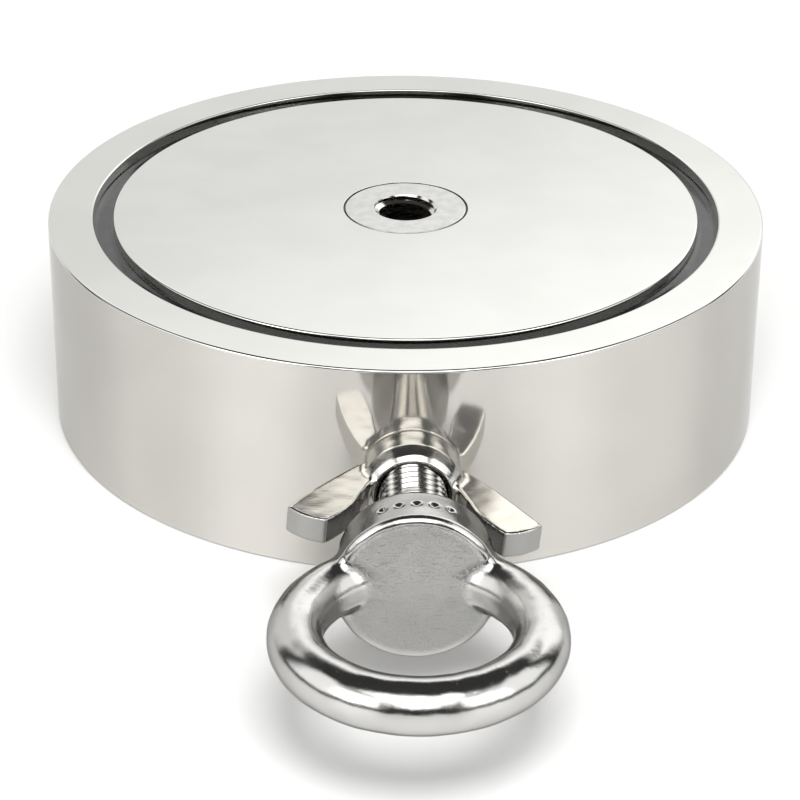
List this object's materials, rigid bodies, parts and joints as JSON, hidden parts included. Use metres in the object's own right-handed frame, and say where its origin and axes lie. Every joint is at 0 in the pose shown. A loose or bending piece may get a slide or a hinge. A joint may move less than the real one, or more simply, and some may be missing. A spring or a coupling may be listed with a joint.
{
  "type": "magnet fishing magnet",
  "caption": "Double-sided magnet-fishing magnet: flat round steel casing, a magnet ring in each face, threaded centre bush, side eyebolt locked by a wing nut.",
  "frame": {"origin": "centre of the casing: mid-height of the through thread's axis, where the eyebolt's axis crosses it", "axes": "+Z along the through thread, normal to the upper magnet face; -Y along the eyebolt, out of the casing; +X to the right, seen from the eyebolt's side"},
  "size_m": [0.136, 0.2114, 0.04],
  "materials": {
    "casing_nickel": "mirror-polished nickel plating on steel",
    "magnet_nickel": "bright nickel plating on sintered neodymium magnet",
    "bush_steel": "fine-turned and nickel-plated",
    "black_resin": "poured epoxy, glossy",
    "forged_steel": "forged stainless steel, tumbled and polished",
    "nut_steel": "cast stainless steel, ground and polished"
  },
  "bodies": {
    "magnet": {"casing": "casing_nickel", "centre_bush": "bush_steel", "upper_magnet": "magnet_nickel", "lower_magnet": "magnet_nickel", "upper_gap_resin": "black_resin", "lower_gap_resin": "black_resin", "upper_bed_adhesive": "black_resin", "lower_bed_adhesive": "black_resin", "upper_seam_resin": "black_resin", "lower_seam_resin": "black_resin"},
    "eyebolt": {"eyebolt": "forged_steel"},
    "wing_nut": {"wing_nut": "nut_steel"}
  },
  "joints": [
    {"name": "eyebolt_turn", "type": "hinge", "parent": "magnet", "child": "eyebolt", "pos_m": [0, -0.068, 0], "axis": [0, -1, 0], "continuous": true},
    {"name": "wing_nut_run", "type": "slide", "parent": "eyebolt", "child": "wing_nut", "axis": [0, -1, 0], "range_m": [0, 0.0087]}
  ]
}
